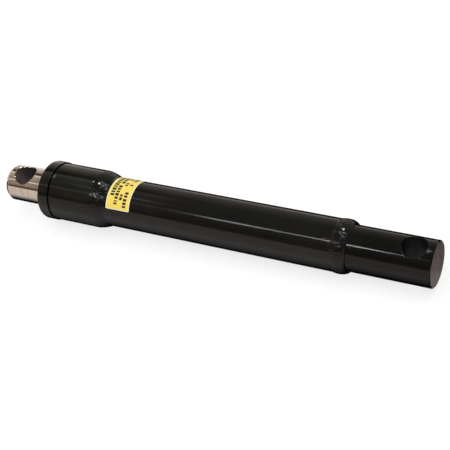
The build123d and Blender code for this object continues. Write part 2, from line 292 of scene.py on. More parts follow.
def end_face_paint():
    """Thinner, duller paint over the sawn end of the bar."""
    paint = Finish("base_end_paint", Specular_IOR_Level=0.25)
    cloud = paint.noise(0.008, detail=4.0)
    paint.colour(paint.tones(cloud, (0.080, 0.060, 0.055), (0.125, 0.096, 0.090)))
    paint.rough(paint.ranged(paint.noise(0.004), 0.55, 0.7))
    paint.bump(paint.noise(0.0012, scale=(1, 0.15, 1)), 1.5e-5)
    return paint.material


def bore_paint():
    """The black overspray inside the base pin hole."""
    paint = Finish("pin_bore_paint", Specular_IOR_Level=0.1)
    cloud = paint.noise(0.006, detail=4.0)
    paint.colour(paint.tones(cloud, (0.006, 0.0055, 0.005), (0.013, 0.012, 0.011)))
    paint.rough(paint.ranged(paint.noise(0.003), 0.35, 0.55))
    paint.bump(paint.noise(0.001, scale=(1, 1, 3)), 1e-5)
    return paint.material


def turned_steel(name, colour, stain):
    """Bare steel turned on a lathe, with tool marks round the X axis and patches of oil."""
    steel = Finish(name, Metallic=1.0)
    cloud = steel.noise(0.007, detail=5.0, roughness=0.6)
    steel.colour(steel.tones(cloud, colour, stain))
    marks = steel.noise(0.002, scale=(12, 1, 1))
    steel.rough(steel.ranged(marks, 0.25, 0.4))
    steel.bump(marks, 1.2e-5)
    return steel.material


def hard_chrome():
    """Ground and plated bar: fine rings round the rod, and faint smears of oil."""
    chrome = Finish("hard_chrome", Metallic=1.0)
    smear = chrome.noise(0.010, detail=3.0, scale=(0.5, 1, 1))
    rings = chrome.noise(0.0016, detail=2.0, scale=(1, 0.03, 0.03))
    clean = chrome.tones(smear, (0.60, 0.548, 0.482), (0.53, 0.475, 0.41))
    chrome.colour(chrome.mixed(chrome.ranged(rings, 0.0, 0.6, 0.5, 0.75), clean, (0.38, 0.335, 0.285)))
    chrome.rough(chrome.combined(chrome.ranged(rings, -0.015, 0.015), chrome.ranged(smear, 0.03, 0.06)))
    chrome.bump(rings, 4e-7)
    return chrome.material


def pin_hole_scale_and_painted_shade():
    """Oily brown scale in the rod's pin hole, streaked along it, and darker at its mouths, with painted shade
    on one side.
    """
    scale = Finish("rod_pin_hole_scale_and_painted_shade", Metallic=0.25)
    streaks = scale.noise(0.0028, detail=4.0, scale=(1, 1, 0.2))
    pale = scale.tones(streaks, (0.30, 0.235, 0.215), (0.17, 0.13, 0.12))
    split = scale.node("ShaderNodeSeparateXYZ")
    scale.link(scale.where, split.inputs["Vector"])
    # Painted shade: the hole's wall darkens towards -Y.
    shade = scale.ranged(split.outputs["Y"], 1.0, 0.0, *PAINTED_SHADE_SIDE_Y)
    shaded = scale.mixed(shade, pale, (0.05, 0.043, 0.040))
    from_axis = scale.node("ShaderNodeVectorMath", operation="LENGTH")
    scale.link(scale.stretched((0, 1, 1)), from_axis.inputs[0])
    mouth = scale.ranged(from_axis.outputs["Value"], 0.0, 1.0, *(ROD_R - depth for depth in DARK_MOUTH))
    scale.colour(scale.mixed(mouth, shaded, (0.02, 0.018, 0.017)))
    scale.rough(scale.ranged(streaks, 0.35, 0.55))
    scale.bump(streaks, 1.5e-5)
    return scale.material


def plain_finish(name, light, dark, shine, blob=0.004, metallic=0.0):
    """A finish with two tones in blobs, a varied sheen and a fine bump."""
    made = Finish(name, Metallic=metallic)
    made.colour(made.tones(made.noise(blob, detail=4.0), light, dark))
    made.rough(made.ranged(made.noise(blob / 2), *shine))
    made.bump(made.noise(blob / 5), 1e-5)
    return made.material


def woven_packing():
    """Fabric-reinforced rubber: a fine woven check under black rubber."""
    made = Finish("woven_packing", Specular_IOR_Level=0.4)
    wave_a = made.node("ShaderNodeTexWave", bands_direction="X")
    wave_b = made.node("ShaderNodeTexWave", bands_direction="DIAGONAL")
    for wave in (wave_a, wave_b):
        wave.inputs["Scale"].default_value = 300.0
        wave.inputs["Distortion"].default_value = 1.0
        made.link(made.where, wave.inputs["Vector"])
    weave = made.combined(wave_a.outputs["Fac"], wave_b.outputs["Fac"], "MULTIPLY")
    made.colour(made.mixed(weave, (0.012, 0.011, 0.010), (0.06, 0.05, 0.04)))
    made.rough(made.ranged(weave, 0.5, 0.75, 0.0, 1.0))
    made.bump(weave, 4e-5)
    return made.material


def label_film(name, colour, worn):
    """Printed vinyl with a slight haze and a few faint scuffs."""
    film = Finish(name, Specular_IOR_Level=0.4)
    scuff = film.noise(0.003, detail=6.0, scale=(1, 0.4, 1), roughness=0.7)
    film.colour(film.tones(scuff, colour, worn, 0.55, 0.75))
    film.rough(film.ranged(film.noise(0.004), 0.3, 0.42))
    film.bump(film.noise(0.002), 6e-6)
    return film.material


def paint_node(node, *materials):
    """Gives a CAD node its materials, with every face on the first."""
    mesh = NODES[node].data
    mesh.materials.clear()
    for material in materials:
        mesh.materials.append(material)
    for polygon in mesh.polygons:
        polygon.material_index = 0
    return mesh


def mark_faces(mesh, index, belongs):
    """Puts the faces whose centre and normal pass a test on another material."""
    for polygon in mesh.polygons:
        if belongs(polygon.center, polygon.normal):
            polygon.material_index = index


def inside_pin_bore(centre_x):
    """A test for faces on the wall of a pin bore."""
    reach = PIN_BORE_R + FIT_GAP

    def belongs(centre, normal):
        across = math.hypot(centre.x - centre_x, centre.y)
        return across < reach and abs(normal.z) < 0.1

    return belongs


def inside_port(centre, _):
    """A test for faces of the port's thread bore and countersink."""
    across = math.hypot(centre.x - PORT_X, centre.z)
    return across < PORT_R + PORT_COUNTERSINK and centre.y < 0


# Finishes that more than one function uses.
PAINT_BARREL = gloss_paint("gloss_black_barrel")
# The collar, base and nut take lighter or darker, tinted copies of the barrel's enamel: painted light and
# shade that sets how bright each part looks.
PAINT_COLLAR = gloss_paint("gloss_black_collar", (1.4, 1.7, 1.4), specular=0.22, painted_spots=COLLAR_PAINTED_HIGHLIGHTS)
PAINT_BASE = gloss_paint("gloss_black_base", (0.6, 0.6, 0.6), specular=0.24, painted_spots=BASE_PAINTED_HIGHLIGHTS)
PAINT_WELD = weld_paint()
PAINT_NUT = gloss_paint("gloss_black_nut", (1.2, 1.4, 1.2), specular=0.26)
THREAD_STEEL = turned_steel("thread_steel", (0.30, 0.28, 0.25), (0.16, 0.13, 0.10))
LABEL_EDGE = label_film("label_edge", (0.86, 0.82, 0.62), (0.70, 0.66, 0.50))
LABEL_FIELD = label_film("label_field", (0.84, 0.66, 0.13), (0.72, 0.56, 0.14))
LABEL_INK = label_film("label_ink", (0.012, 0.011, 0.010), (0.06, 0.05, 0.03))

# ------------------------------------------------------------------ mesh helpers

SHARP_ANGLE = math.radians(35)


def added(name, data):
    """A new object in the scene."""
    made = bpy.data.objects.new(name, data)
    bpy.context.scene.collection.objects.link(made)
    return made


def mesh_from(name, bm, *materials):
    """A mesh from a bmesh, which is then freed."""
    mesh = bpy.data.meshes.new(name)
    bm.to_mesh(mesh)
    bm.free()
    for material in materials:
        mesh.materials.append(material)
    return mesh


def mesh_object(name, bm, body, *materials):
    """A smooth-shaded object from a bmesh, riding on a body."""
    bmesh.ops.recalc_face_normals(bm, faces=bm.faces)
    mesh = mesh_from(name, bm, *materials)
    mesh.polygons.foreach_set("use_smooth", [True] * len(mesh.polygons))
    mesh.set_sharp_from_angle(angle=SHARP_ANGLE)
    made = added(name, mesh)
    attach(made, body)
    return made


def swept_ring(profile_at, steps):
    """A closed ring about the X axis. profile_at(angle) gives its outline there, as (x, radius) points."""
    bm = bmesh.new()
    loops = []
    for i in range(steps):
        angle = 2 * math.pi * i / steps
        loops.append([bm.verts.new(ring_point(x, radius, angle)) for x, radius in profile_at(angle)])
    for i in range(steps):
        here, after = loops[i], loops[(i + 1) % steps]
        for j in range(len(here)):
            k = (j + 1) % len(here)
            bm.faces.new((here[j], here[k], after[k], after[j]))
    return bm


def smooth_step(t):
    """0 below 0, 1 above 1, and an S between."""
    t = max(0.0, min(1.0, t))
    return t * t * (3 - 2 * t)


def nearest_turn(angle):
    """The same direction as an angle, from -pi to pi."""
    return (angle + math.pi) % (2 * math.pi) - math.pi


def arc_points(start, through, end, count):
    """Points on the circular arc through three points, ends included."""
    ax, ay = start
    bx, by = through
    cx, cy = end
    d = 2 * (ax * (by - cy) + bx * (cy - ay) + cx * (ay - by))
    sa, sb, sc = ax * ax + ay * ay, bx * bx + by * by, cx * cx + cy * cy
    ux = (sa * (by - cy) + sb * (cy - ay) + sc * (ay - by)) / d
    uy = (sa * (cx - bx) + sb * (ax - cx) + sc * (bx - ax)) / d
    radius = math.hypot(ax - ux, ay - uy)
    first = math.atan2(ay - uy, ax - ux)
    last = math.atan2(cy - uy, cx - ux)
    turn = nearest_turn(last - first)
    angles = [first + turn * i / (count - 1) for i in range(count)]
    return [(ux + radius * math.cos(angle), uy + radius * math.sin(angle)) for angle in angles]


# ------------------------------------------------------------------ weld beads

BASE_CREST_X = 69.5 * MM
COLLAR_BEAD_MID = (326.0 * MM, 28.3 * MM)
COLLAR_CHAMFER = 3.0 * MM
COLLAR_SINK = 1.0 * MM
BEAD_SINK = 0.15 * MM
BEAD_ROWS = 30
BEAD_STEPS_PER_RIPPLE = 10

# Ripples: their pitch round the bead, their depth and the least share of it, and where one peaks.
RIPPLE_PITCH = 2.3 * MM
RIPPLE_DEPTH = 0.08 * MM
RIPPLE_LEAST = 0.25
RIPPLE_PEAK = 0.68

# How far ripples lag at the bead's toes and wander round it, in ripples, and how far its toes wander.
TOE_LAG = 0.9
RIPPLE_WANDER = 0.6
TOE_WANDER = 0.35 * MM

# Heights of the slow drift, of the lap where the bead starts and stops, and of the grain. All of them fade
# towards the toes, more slowly the lower the power.
CROWN_POWER = 0.7
DRIFT_HEIGHT = 0.22 * MM
LAP_HEIGHT = 0.30 * MM
LAP_HALF_ANGLE = 0.10
GRAIN_HEIGHT = 0.13 * MM
GRAINS_PER_METRE = 450.0

# How often each noise changes round the bead, and how sharply the ripples come and go.
DRIFT_NOISE, WANDER_NOISE, CRISP_NOISE = 3.0, 9.0, 4.0
CRISP_GAIN = 1.6


def ripple_height(phase):
    """One weld ripple: a slow rise and a quick fall, from 0 to 1."""
    t = phase % 1.0
    if t < RIPPLE_PEAK:
        return smooth_step(t / RIPPLE_PEAK)
    return smooth_step((1 - t) / (1 - RIPPLE_PEAK))


def weld_bead(name, node, surface, root, seed, lap_angle):
    """A bead of overlapping crescents between two parts.

    surface is the bead's outer outline from one toe to the other, root the hidden points that close it, and
    lap_angle where the bead starts and stops.
    """
    radius = max(r for _, r in surface)
    ripples = round(2 * math.pi * radius / RIPPLE_PITCH)
    rows = len(surface)

    def profile_at(angle):
        around = Vector((math.cos(angle), math.sin(angle), 0.0))
        drift = noise.noise(around * DRIFT_NOISE + Vector((seed, 0, 0)))
        wander = noise.noise(around * WANDER_NOISE + Vector((0, seed, 0)))
        crisp = smooth_step(0.5 + CRISP_GAIN * noise.noise(around * CRISP_NOISE + Vector((0, 0, seed))))
        depth = RIPPLE_DEPTH * (RIPPLE_LEAST + (1 - RIPPLE_LEAST) * crisp)
        lap = math.exp(-((nearest_turn(angle - lap_angle) / LAP_HALF_ANGLE) ** 2))
        outline = []
        for j, (x, r) in enumerate(surface):
            t = j / (rows - 1)
            middle = math.sin(math.pi * t) ** CROWN_POWER
            phase = angle * ripples / (2 * math.pi) + TOE_LAG * (2 * t - 1) ** 2 + RIPPLE_WANDER * wander
            grain = noise.noise(ring_point(x, r, angle) * GRAINS_PER_METRE)
            swell = DRIFT_HEIGHT * drift + LAP_HEIGHT * lap + GRAIN_HEIGHT * grain
            rise = swell - depth * (1 - ripple_height(phase))
            outline.append((x + TOE_WANDER * wander * (1 - middle), r + rise * middle))
        return outline + root

    bm = swept_ring(profile_at, ripples * BEAD_STEPS_PER_RIPPLE)
    bead = mesh_object(name, bm, "barrel", PAINT_WELD)
    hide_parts(node)
    return bead


def collar_bead():
    """The wide fillet at the collar's rear edge."""
    toe_x, top_x = x_span("collar_weld_bead")
    surface = arc_points((top_x, COLLAR_R - INSIDE_CAD), COLLAR_BEAD_MID, (toe_x, TUBE_R), BEAD_ROWS)
    root = [
        (toe_x, TUBE_R - BEAD_SINK),
        (top_x - COLLAR_CHAMFER, TUBE_R - BEAD_SINK),
        (top_x, COLLAR_R - COLLAR_SINK),
    ]
    lap = math.radians(-70)
    return weld_bead("collar_weld_ripples", "collar_weld_bead", surface, root, seed=4.0, lap_angle=lap)


def base_bead():
    """The bead that joins the bar to the barrel: a steep toe on the bar and a low crown on the tube."""
    toe_x, end_x = x_span("base_weld_bead")
    crest_r = top_radius("base_weld_bead")
    steep_rows = BEAD_ROWS * 2 // 3
    crown_rows = BEAD_ROWS - steep_rows
    surface = []
    for i in range(steep_rows):
        turn = 0.5 * math.pi * i / steep_rows
        x = BASE_CREST_X - (BASE_CREST_X - toe_x) * math.cos(turn)
        surface.append((x, BASE_BAR_R + (crest_r - BASE_BAR_R) * math.sin(turn)))
    for i in range(crown_rows + 1):
        t = i / crown_rows
        surface.append((BASE_CREST_X + (end_x - BASE_CREST_X) * t, crest_r - (crest_r - TUBE_R) * t**2))
    root = [
        (end_x, TUBE_R - BEAD_SINK),
        (BASE_CREST_X, BASE_BAR_R - BEAD_SINK),
        (toe_x, BASE_BAR_R - BEAD_SINK),
    ]
    lap = math.radians(-110)
    return weld_bead("base_weld_ripples", "base_weld_bead", surface, root, seed=11.0, lap_angle=lap)


# ------------------------------------------------------------------ packing nut and oil port

NUT_STEPS = 192
NUT_BORE_GAP = 0.3 * MM
NUT_LEAD = 0.8 * MM
NUT_BACK_EDGE = 0.2 * MM
NUT_FLANGE_BACK = 384.0 * MM
FLANGE_ROUND = 3.2 * MM
FLANGE_ROUND_STEPS = 8
O_RING_GROOVE = 3.0 * MM
WIPER_SEAT_R = 22.2 * MM
WIPER_SEAT_DEPTH = 7.0 * MM
WIPER_SEAT_EDGE = 0.4 * MM

SPANNER_HOLES = 4
FIRST_SPANNER_HOLE_DEG = 45
SPANNER_HOLE_R = 1.9 * MM
SPANNER_CIRCLE_R = 25.0 * MM
SPANNER_HOLE_DEPTH = 7.5 * MM
SPANNER_HOLE_POINT = 1.2 * MM
SPANNER_HOLE_EASE = 0.3 * MM
CUTTER_PAST_FACE = 0.5 * MM
CUTTER_STEPS = 48

# Threads. The flat is the share of a pitch that is level at the crest, and again at the root.
THREAD_GAP = 0.03 * MM
THREAD_FLAT = 0.12
THREAD_RUNOUT = 0.6 * MM
NUT_THREAD_PITCH = 25.4 / 12 * MM
NUT_THREAD_DEPTH = 1.15 * MM
NUT_ROWS_PER_TURN = 16
PORT_THREAD_PITCH = 25.4 / 18 * MM
PORT_THREAD_DEPTH = 0.62 * MM
PORT_ROWS_PER_TURN = 12
PORT_STEPS = 96
PORT_MOUTH_GAP = 0.3 * MM
PORT_BLIND_LENGTH = 2.5 * MM


def thread_cut(x, angle, pitch):
    """How deep a vee thread is cut at a place, from 0 at its crest to 1 at its root."""
    t = (x / pitch - angle / (2 * math.pi)) % 1.0
    return max(0.0, min(1.0, (abs(2 * t - 1) - THREAD_FLAT) / (1 - 2 * THREAD_FLAT)))


def nut_spigot(angle, start, end, radius):
    """The threaded part of the nut's outline at one angle."""
    rows = NUT_ROWS_PER_TURN * round((end - start) / NUT_THREAD_PITCH)
    points = []
    for i in range(rows + 1):
        x = start + (end - start) * i / rows
        fade = min(1.0, (end - x) / NUT_THREAD_PITCH)
        points.append((x, radius - NUT_THREAD_DEPTH * fade * thread_cut(x, angle, NUT_THREAD_PITCH)))
    return points


def nut_nose(front, radius):
    """The rounded edge between the nut's flange and its face."""
    points = []
    for i in range(FLANGE_ROUND_STEPS + 1):
        turn = 0.5 * math.pi * i / FLANGE_ROUND_STEPS
        x = front - FLANGE_ROUND * (1 - math.sin(turn))
        points.append((x, radius - FLANGE_ROUND * (1 - math.cos(turn))))
    return points


def packing_nut():
    """The nut with its thread cut into the spigot. It replaces the CAD's plain one."""
    start, front = x_span("packing_nut")
    ring_low, ring_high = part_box("nut_o_ring")
    groove_from = (ring_low.x + ring_high.x - O_RING_GROOVE) / 2
    groove_to = groove_from + O_RING_GROOVE
    groove_r = top_radius("nut_o_ring") - (ring_high.x - ring_low.x) - FIT_GAP
    spigot_r = top_radius("packing_washer") - THREAD_GAP
    flange_r = NUT_R - INSIDE_CAD
    bore = ROD_R + NUT_BORE_GAP
    seat_x = front - WIPER_SEAT_DEPTH
    flange = [
        (groove_from, spigot_r),
        (groove_from, groove_r),
        (groove_to, groove_r),
        (groove_to, spigot_r),
        (NUT_FLANGE_BACK, spigot_r),
        (NUT_FLANGE_BACK, flange_r - NUT_BACK_EDGE),
        (NUT_FLANGE_BACK + NUT_BACK_EDGE, flange_r),
    ]
    inside = [
        (front, WIPER_SEAT_R + WIPER_SEAT_EDGE),
        (front - WIPER_SEAT_EDGE, WIPER_SEAT_R),
        (seat_x, WIPER_SEAT_R),
        (seat_x, bore),
        (start, bore),
        (start, spigot_r - NUT_THREAD_DEPTH),
    ]
    fixed = flange + nut_nose(front, flange_r) + inside

    def profile_at(angle):
        return nut_spigot(angle, start + NUT_LEAD, groove_from - THREAD_RUNOUT, spigot_r) + fixed

    bm = swept_ring(profile_at, NUT_STEPS)
    nut = mesh_object("packing_nut_threaded", bm, "nut", PAINT_NUT, THREAD_STEEL)
    drill_spanner_holes(nut, front)
    mark_faces(nut.data, 1, lambda centre, _: centre.x < NUT_FLANGE_BACK - FACE_MARGIN)
    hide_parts("packing_nut")
    return nut


def drill_spanner_holes(nut, front):
    """Blind holes with eased mouths, for a pin spanner."""
    bottom = front - SPANNER_HOLE_DEPTH
    past = front + CUTTER_PAST_FACE
    bm = bmesh.new()
    for k in range(SPANNER_HOLES):
        angle = math.radians(FIRST_SPANNER_HOLE_DEG + 360 * k / SPANNER_HOLES)
        _, y, z = ring_point(0, SPANNER_CIRCLE_R, angle)
        outline = [
            (bottom - SPANNER_HOLE_POINT, 0.0),
            (bottom, SPANNER_HOLE_R),
            (front - SPANNER_HOLE_EASE, SPANNER_HOLE_R),
            (past, SPANNER_HOLE_R + SPANNER_HOLE_EASE + CUTTER_PAST_FACE),
            (past, 0.0),
        ]
        drill = [bm.verts.new((x, y + r, z)) for x, r in outline]
        edges = [bm.edges.new(pair) for pair in zip(drill, drill[1:])]
        bmesh.ops.spin(
            bm,
            geom=drill + edges,
            cent=(0, y, z),
            axis=(1, 0, 0),
            angle=2 * math.pi,
            steps=CUTTER_STEPS,
            use_merge=True,
        )
    bmesh.ops.remove_doubles(bm, verts=bm.verts, dist=1e-7)
    bmesh.ops.recalc_face_normals(bm, faces=bm.faces)
    cutter = added("spanner_hole_cutter", mesh_from("spanner_hole_cutter", bm))
    cut = nut.modifiers.new("holes", "BOOLEAN")
    cut.operation = "DIFFERENCE"
    cut.object = cutter
    cut.solver = "EXACT"
    graph = bpy.context.evaluated_depsgraph_get()
    drilled = bpy.data.meshes.new_from_object(nut.evaluated_get(graph))
    nut.modifiers.clear()
    nut.data = drilled
    drilled.set_sharp_from_angle(angle=SHARP_ANGLE)
    bpy.data.objects.remove(cutter)


def port_thread():
    """The pipe thread inside the oil port, standing in from its wall."""
    rows = PORT_ROWS_PER_TURN * round(PORT_LENGTH / PORT_THREAD_PITCH)
    outer = PORT_R + THREAD_GAP
    mouth = -PORT_CENTRE_Y + PORT_LENGTH / 2 - PORT_MOUTH_GAP
    bottom = mouth - PORT_LENGTH + PORT_BLIND_LENGTH

    def profile_at(angle):
        inner = []
        for i in range(rows + 1):
            x = bottom + (mouth - bottom) * i / rows
            fade = min(1.0, (mouth - x) / PORT_THREAD_PITCH, (x - bottom) / PORT_THREAD_PITCH)
            crest = 1 - thread_cut(x, angle, PORT_THREAD_PITCH)
            inner.append((x, PORT_R - PORT_THREAD_DEPTH * fade * crest))
        return inner + [(mouth, outer), (bottom, outer)]

    bm = swept_ring(profile_at, PORT_STEPS)
    to_port = Matrix.Translation((PORT_X, 0, 0)) @ Matrix.Rotation(math.radians(-90), 4, "Z")
    bmesh.ops.transform(bm, matrix=to_port, verts=bm.verts)
    thread = mesh_object("oil_port_thread", bm, "barrel", THREAD_STEEL)
    return thread


# ------------------------------------------------------------------ label

# The label's two ends, as angles from +Y towards +Z.
LABEL_FROM_DEG, LABEL_TO_DEG = 35.4, 166.0
LABEL_THICKNESS = 0.12 * MM
LABEL_CORNER = 1.2 * MM
LABEL_BORDER = 0.9 * MM
LABEL_SINK = 0.01 * MM
PRINT_STEP = 0.02 * MM
PATCH_ROW = 0.8 * MM
PATCH_LEAST_ROWS = 6
PATCH_CORNER_STEPS = 6

# Lines of print as (distance from the collar's side, height, groups of bars), in millimetres. A group runs
# from a start to an end along the label.
PRINT_LINES = (
    (2.9, 4.4, ((14.0, 44.0),)),
    (8.6, 3.8, ((5.5, 9.5), (11.0, 28.0), (30.0, 46.0))),
    (14.2, 3.0, ((10.5, 18.5), (27.0, 33.5), (38.0, 43.0))),
    (18.9, 3.8, ((3.5, 12.5), (14.0, 21.5), (28.5, 31.0), (36.0, 48.0))),
)
BAR_LENGTH = (1.7, 3.2)
BAR_LEAST = 1.0
BAR_GAP = 0.95
PRINT_SEED = 7


def patch_places(length, corner):
    """Where a patch of this length has a row of points, close together round its corners."""
    steps = range(PATCH_CORNER_STEPS + 1) if corner else range(1)
    ends = [corner * (1 - math.cos(0.5 * math.pi * i / PATCH_CORNER_STEPS)) for i in steps]
    rows = max(PATCH_LEAST_ROWS, math.ceil(length / PATCH_ROW))
    between = [corner + (length - 2 * corner) * i / rows for i in range(1, rows)]
    return ends + between + [length - end for end in reversed(ends)]


def wrapped_patch(bm, along, around, corner, radii, material):
    """A thin closed patch on the barrel.

    along is its two places along X, around its two places in metres from the label's lower edge, and radii
    its inner and outer radius.
    """
    inner_r, outer_r = radii
    length = around[1] - around[0]
    loops = []
    for place in patch_places(length, corner):
        near = min(place, length - place)
        inset = corner - math.sqrt(max(0.0, corner**2 - (corner - near) ** 2)) if near < corner else 0.0
        angle = math.radians(LABEL_FROM_DEG) + (around[0] + place) / TUBE_R
        x_from, x_to = along[0] + inset, along[1] - inset
        section = ((x_from, outer_r), (x_to, outer_r), (x_to, inner_r), (x_from, inner_r))
        loops.append([bm.verts.new(ring_point(x, r, angle)) for x, r in section])
    faces = [bm.faces.new(loops[0]), bm.faces.new(reversed(loops[-1]))]
    for here, after in zip(loops, loops[1:]):
        for j in range(4):
            k = (j + 1) % 4
            faces.append(bm.faces.new((here[j], after[j], after[k], here[k])))
    for face in faces:
        face.material_index = material


def print_bars(label_x):
    """The bars of all lines, each as its two places along X and its two along the label, in metres."""
    lengths = random.Random(PRINT_SEED)
    bars = []
    for offset, height, groups in PRINT_LINES:
        along = (label_x - (offset + height) * MM, label_x - offset * MM)
        for start, end in groups:
            while start < end - BAR_LEAST:
                bar_end = min(start + lengths.uniform(*BAR_LENGTH), end)
                bars.append((along, (start * MM, bar_end * MM)))
                start = bar_end + BAR_GAP
    return bars


def label():
    """A pale-edged yellow sticker with rows of plain dark bars where a real one has its text."""
    low, high = x_span("barrel_label")
    length = math.radians(LABEL_TO_DEG - LABEL_FROM_DEG) * TUBE_R
    top = TUBE_R + LABEL_THICKNESS
    field = (low + LABEL_BORDER, high - LABEL_BORDER), (LABEL_BORDER, length - LABEL_BORDER)
    bm = bmesh.new()
    wrapped_patch(bm, (low, high), (0.0, length), LABEL_CORNER, (TUBE_R - LABEL_SINK, top), 0)
    wrapped_patch(bm, *field, LABEL_CORNER / 2, (TUBE_R, top + PRINT_STEP), 1)
    for bar in print_bars(high):
        wrapped_patch(bm, *bar, 0.0, (TUBE_R, top + 2 * PRINT_STEP), 2)
    made = mesh_object("barrel_label_print", bm, "barrel", LABEL_EDGE, LABEL_FIELD, LABEL_INK)
    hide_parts("barrel_label")
    return made


# ------------------------------------------------------------------ studio

FLOOR_REACH = 8.0
FLOOR_DROP = 0.1 * MM
FLOOR_GLOW = 0.78

# Cards and gels lie over the table, and run this far from the cylinder.
SHEET_REACH = 3.0
CARD_START = 10 * MM
CARD_LIFT = 0.3 * MM
GEL_LIFT = 0.6 * MM
GEL_COLOUR = (1.0, 0.90, 0.86)
GELS = (
    ("gel_front", 75 * MM, SHEET_REACH),
    ("gel_back", -SHEET_REACH, -150 * MM),
)

# Thin lamps seen in reflections, as stations along them: an x, an angle about the X axis and a radiance.
STRIP_DISTANCE = 1.1
STRIP_NEAR = (
    (-0.10, 58.0, 0),
    (0.05, 59.0, 18),
    (0.17, 61.0, 18),
    (0.21, 62.0, 0),
    (0.27, 64.1, 0),
    (0.28, 64.1, 4),
    (0.335, 64.1, 20),
    (0.387, 64.1, 56),
    (0.42, 64.1, 88),
    (0.45, 64.0, 14),
    (0.57, 63.1, 16),
    (0.65, 62.1, 25),
    (0.70, 62.1, 29),
    (0.75, 62.1, 5),
    (0.83, 61.5, 0),
)
STRIP_BACK = (
    (-1.3, 104, 0),
    (-1.0, 104, 25),
    (-0.1, 107, 70),
    (0.20, 109, 70),
    (0.25, 109, 0),
)
STRIP_FAR = (
    (0.83, 84, 0),
    (0.91, 83.4, 5.5),
    (0.99, 86, 5),
    (1.03, 87, 1.5),
    (1.16, 92, 1),
)


def ground(name, low_y, high_y, above, material, end_x=FLOOR_REACH):
    """A sheet between two places along Y, at a height above the table.

    The table touches the base weld bead and the nut's flange, so it slopes a little along X.
    """
    rear = Vector((BASE_CREST_X, 0, -top_radius("base_weld_bead")))
    front = Vector((NUT_FLANGE_BACK, 0, -NUT_R))
    slope = math.atan2(rear.z - front.z, front.x - rear.x)
    middle = (rear + front) / 2 + Vector((0, 0, above - FLOOR_DROP))
    last_x = end_x - middle.x
    corners = [(-FLOOR_REACH, low_y), (last_x, low_y), (last_x, high_y), (-FLOOR_REACH, high_y)]
    to_table = Matrix.Translation(middle) @ Matrix.Rotation(slope, 4, "Y")
    bm = bmesh.new()
    bm.faces.new([bm.verts.new((x, y, 0)) for x, y in corners])
    bmesh.ops.transform(bm, matrix=to_table, verts=bm.verts)
    made = added(name, mesh_from(name, bm, material))
    return made


def floor():
    """A pale table that glows by itself, so the shadows on it stay faint."""
    pale = Finish("floor", Roughness=0.8, Specular_IOR_Level=0.2, Emission_Strength=FLOOR_GLOW)
    pale.shader.inputs["Emission Color"].default_value = (1.0, 1.0, 1.0, 1.0)
    pale.colour(pale.tones(pale.noise(0.4), (0.25, 0.25, 0.254), (0.24, 0.24, 0.244)))
    ground("floor", -FLOOR_REACH, FLOOR_REACH, 0.0, pale.material)


def only_reflected(piece):
    """The piece shows in reflections alone, as a card held outside the picture does."""
    piece.visible_camera = False
    piece.visible_diffuse = False
    piece.visible_shadow = False


def painted_shade_card(name, near_y, far_y, far_alpha, end_x):
    """A dark card beside the cylinder, seen only in reflections: painted shade that keeps the cylinder's edges
    dark.

    It is solid as far as near_y, and fades to far_alpha at far_y. It lies on that side of the cylinder.
    """
    card = Finish(name, Roughness=1.0, Specular_IOR_Level=0.0, Base_Color=(0.0, 0.0, 0.0, 1.0))
    split = card.node("ShaderNodeSeparateXYZ")
    card.link(card.where, split.inputs["Vector"])
    fade = card.ranged(split.outputs["Y"], 1.0, far_alpha, near_y, far_y)
    card.link(fade, card.shader.inputs["Alpha"])
    low, high = sorted(math.copysign(y, far_y) for y in (CARD_START, SHEET_REACH))
    only_reflected(ground(name, low, high, CARD_LIFT, card.material, end_x))


def warm_gels():
    """Warm filters over the table in front of the cylinder and behind it."""
    material = bpy.data.materials.new("warm_gel")
    material.use_nodes = True
    nodes = Nodes(material.node_tree)
    gel = nodes.node("ShaderNodeBsdfTransparent")
    gel.inputs["Color"].default_value = (*GEL_COLOUR, 1.0)
    nodes.link(gel.outputs["BSDF"], nodes.tree.nodes["Material Output"].inputs["Surface"])
    for name, low, high in GELS:
        only_reflected(ground(name, low, high, GEL_LIFT, material))


def area_light(name, place, aim, size, radiance):
    """A rectangular lamp that faces aim and doesn't show in reflections."""
    data = bpy.data.lights.new(name, "AREA")
    data.shape = "RECTANGLE"
    data.size, data.size_y = size
    data.energy = radiance * math.pi * size[0] * size[1]
    lamp = added(name, data)
    lamp.rotation_mode = "QUATERNION"
    lamp.rotation_quaternion = (Vector(place) - Vector(aim)).to_track_quat("Z", "Y")
    lamp.location = place
    lamp.visible_glossy = False


def glowing(name):
    """A material that shines with the radiance kept in a mesh's glow attribute."""
    material = bpy.data.materials.new(name)
    material.use_nodes = True
    nodes = Nodes(material.node_tree)
    light = nodes.node("ShaderNodeEmission")
    amount = nodes.node("ShaderNodeAttribute", attribute_name="glow")
    nodes.link(amount.outputs["Fac"], light.inputs["Strength"])
    nodes.link(light.outputs["Emission"], nodes.tree.nodes["Material Output"].inputs["Surface"])
    return material


def strip_lamp(name, stations, width_deg):
    """A thin lamp along its stations, seen only in reflections."""
    bm = bmesh.new()
    glow = bm.verts.layers.float.new("glow")
    rows = []
    for x, degrees, radiance in stations:
        sides = [math.radians(degrees + side * width_deg / 2) for side in (-1, 1)]
        row = [bm.verts.new(ring_point(x, STRIP_DISTANCE, angle)) for angle in sides]
        for vert in row:
            vert[glow] = radiance
        rows.append(row)
    for here, after in zip(rows, rows[1:]):
        bm.faces.new((here[0], here[1], after[1], after[0]))
    only_reflected(added(name, mesh_from(name, bm, glowing(name))))


def lights():
    """A broad lamp overhead, and the thin lamps that draw bright lines along the cylinder."""
    area_light("overhead", place=(0.2, 0.1, 2.2), aim=(0.2, 0, 0), size=(2.4, 2.4), radiance=3.0)
    strip_lamp("strip_near", STRIP_NEAR, width_deg=1.6)
    strip_lamp("strip_back", STRIP_BACK, width_deg=1.6)
    strip_lamp("strip_far", STRIP_FAR, width_deg=1.8)


